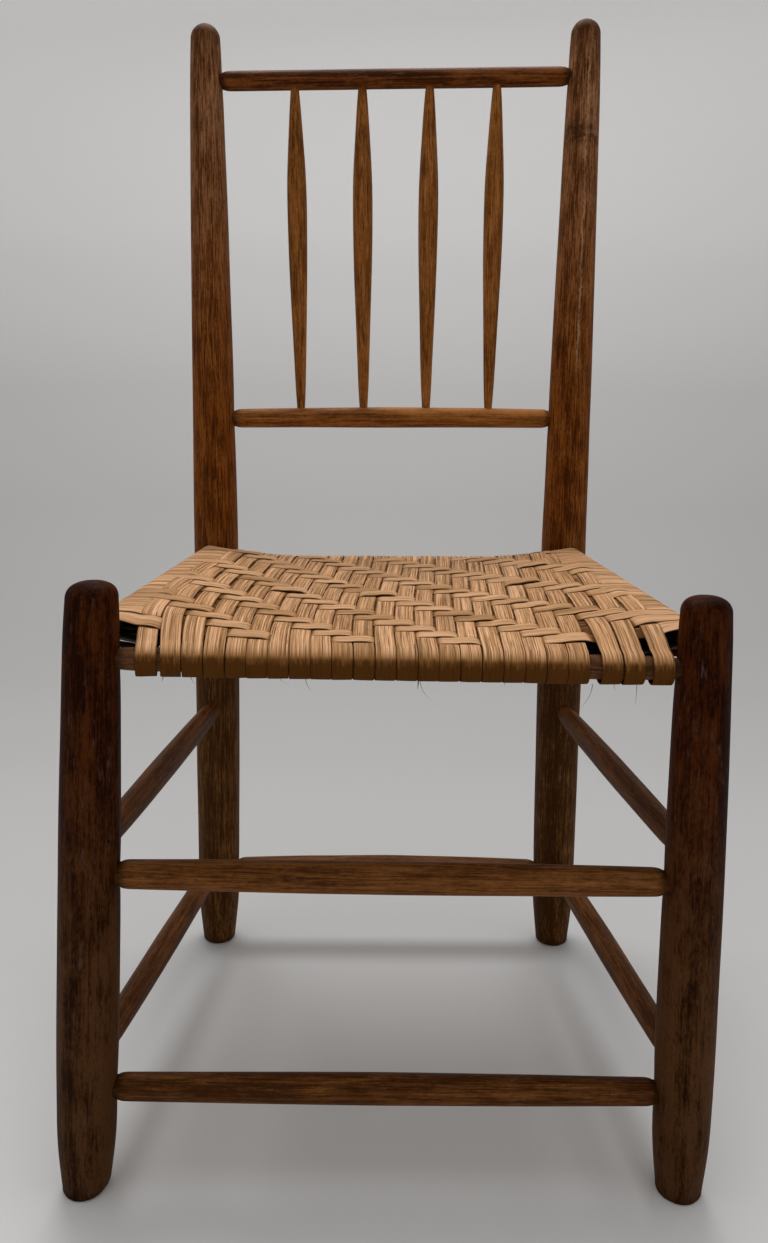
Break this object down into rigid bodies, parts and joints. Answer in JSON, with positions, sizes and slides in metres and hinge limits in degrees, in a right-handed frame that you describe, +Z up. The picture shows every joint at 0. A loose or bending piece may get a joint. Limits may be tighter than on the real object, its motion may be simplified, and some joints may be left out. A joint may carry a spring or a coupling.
{
  "type": "chair",
  "caption": "Turned country side chair with a spindle back, plain round rungs and a square seat of splint woven in a twill.",
  "frame": {"origin": "on the floor, at the middle of the whole chair's footprint", "axes": "+Z up, +X to the right as seen from the front, +Y from the front to the back"},
  "size_m": [0.4698, 0.425, 0.939],
  "materials": {
    "dark_wood": "dark brown worn wood, satin, with grain and scratches",
    "back_wood": "warm brown worn wood, satin, darker at the tops",
    "rung_wood": "brown worn wood, satin",
    "rail_wood": "dark unfinished wood under the splint",
    "warp_splint": "tan wood splint with long fibres, satin",
    "weft_splint": "light tan wood splint with long fibres, satin"
  },
  "bodies": {
    "root": {"front_left_post": "dark_wood", "front_right_post": "dark_wood", "back_left_post": "back_wood", "back_right_post": "back_wood", "crest_rail": "back_wood", "lower_back_rail": "back_wood", "spindle_1": "back_wood", "spindle_2": "back_wood", "spindle_3": "back_wood", "spindle_4": "back_wood", "front_upper_stretcher": "rung_wood", "front_lower_stretcher": "rung_wood", "left_upper_stretcher": "rung_wood", "left_lower_stretcher": "rung_wood", "right_upper_stretcher": "rung_wood", "right_lower_stretcher": "rung_wood", "back_stretcher": "rung_wood", "front_seat_rail": "rail_wood", "back_seat_rail": "rail_wood", "left_seat_rail": "rail_wood", "right_seat_rail": "rail_wood", "warp_length_01": "warp_splint", "warp_length_02": "warp_splint", "warp_length_03": "warp_splint", "warp_length_04": "warp_splint", "warp_length_05": "warp_splint", "warp_length_06": "warp_splint", "warp_length_07": "warp_splint", "warp_length_08": "warp_splint", "warp_length_09": "warp_splint", "warp_length_10": "warp_splint", "corner_strip_1": "warp_splint", "corner_strip_2": "warp_splint", "corner_strip_3": "warp_splint", "corner_strip_4": "warp_splint", "weft_length_01": "weft_splint", "weft_length_02": "weft_splint", "weft_length_03": "weft_splint", "weft_length_04": "weft_splint", "weft_length_05": "weft_splint", "weft_length_06": "weft_splint", "weft_length_07": "weft_splint", "weft_length_08": "weft_splint", "weft_length_09": "weft_splint", "weft_length_10": "weft_splint"}
  },
  "joints": []
}
